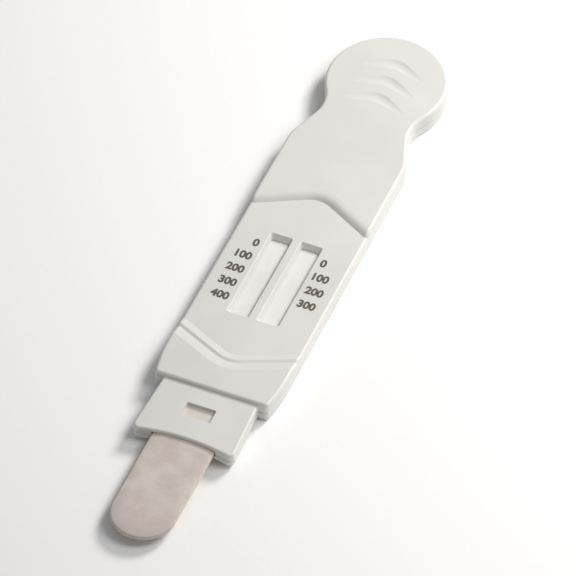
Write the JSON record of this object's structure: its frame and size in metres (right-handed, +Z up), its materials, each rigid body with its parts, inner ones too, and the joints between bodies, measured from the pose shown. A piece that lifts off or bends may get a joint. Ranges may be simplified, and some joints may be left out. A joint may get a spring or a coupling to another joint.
{
  "type": "saliva drug test kit",
  "caption": "Flat hand-held saliva test device: case with round thumb grip, sunken panel with bevelled result windows over test strips, and a collar that holds an absorbent collection pad.",
  "frame": {"origin": "middle of the bounding box at the height of the case's flat back, on the surface that the device lies on", "axes": "+X across the device to the right as seen from the front, +Y along it from the collection pad to the thumb grip, +Z up out of the front cover's face"},
  "size_m": [0.0274, 0.1494, 0.005],
  "materials": {
    "case_plastic": "moulded white polystyrene with a fine satin skin",
    "pad_fibre": "pressed absorbent fibre, pinkish grey, cut edges",
    "card_plastic": "smooth white vinyl card",
    "sample_fibre": "white glass fibre mat",
    "conjugate_fibre": "glass fibre mat tinted by the dried reagent",
    "membrane": "smooth white nitrocellulose",
    "absorbent_paper": "thick white cotton paper",
    "marking_ink": "flat dark brown-grey pad-printed ink"
  },
  "bodies": {
    "root": {"front_cover": "case_plastic", "rear_cover": "case_plastic", "collection_pad": "pad_fibre", "left_backing_card": "card_plastic", "left_sample_pad": "sample_fibre", "left_conjugate_pad": "conjugate_fibre", "left_membrane": "membrane", "left_absorbent_pad": "absorbent_paper", "right_backing_card": "card_plastic", "right_sample_pad": "sample_fibre", "right_conjugate_pad": "conjugate_fibre", "right_membrane": "membrane", "right_absorbent_pad": "absorbent_paper"}
  },
  "joints": []
}
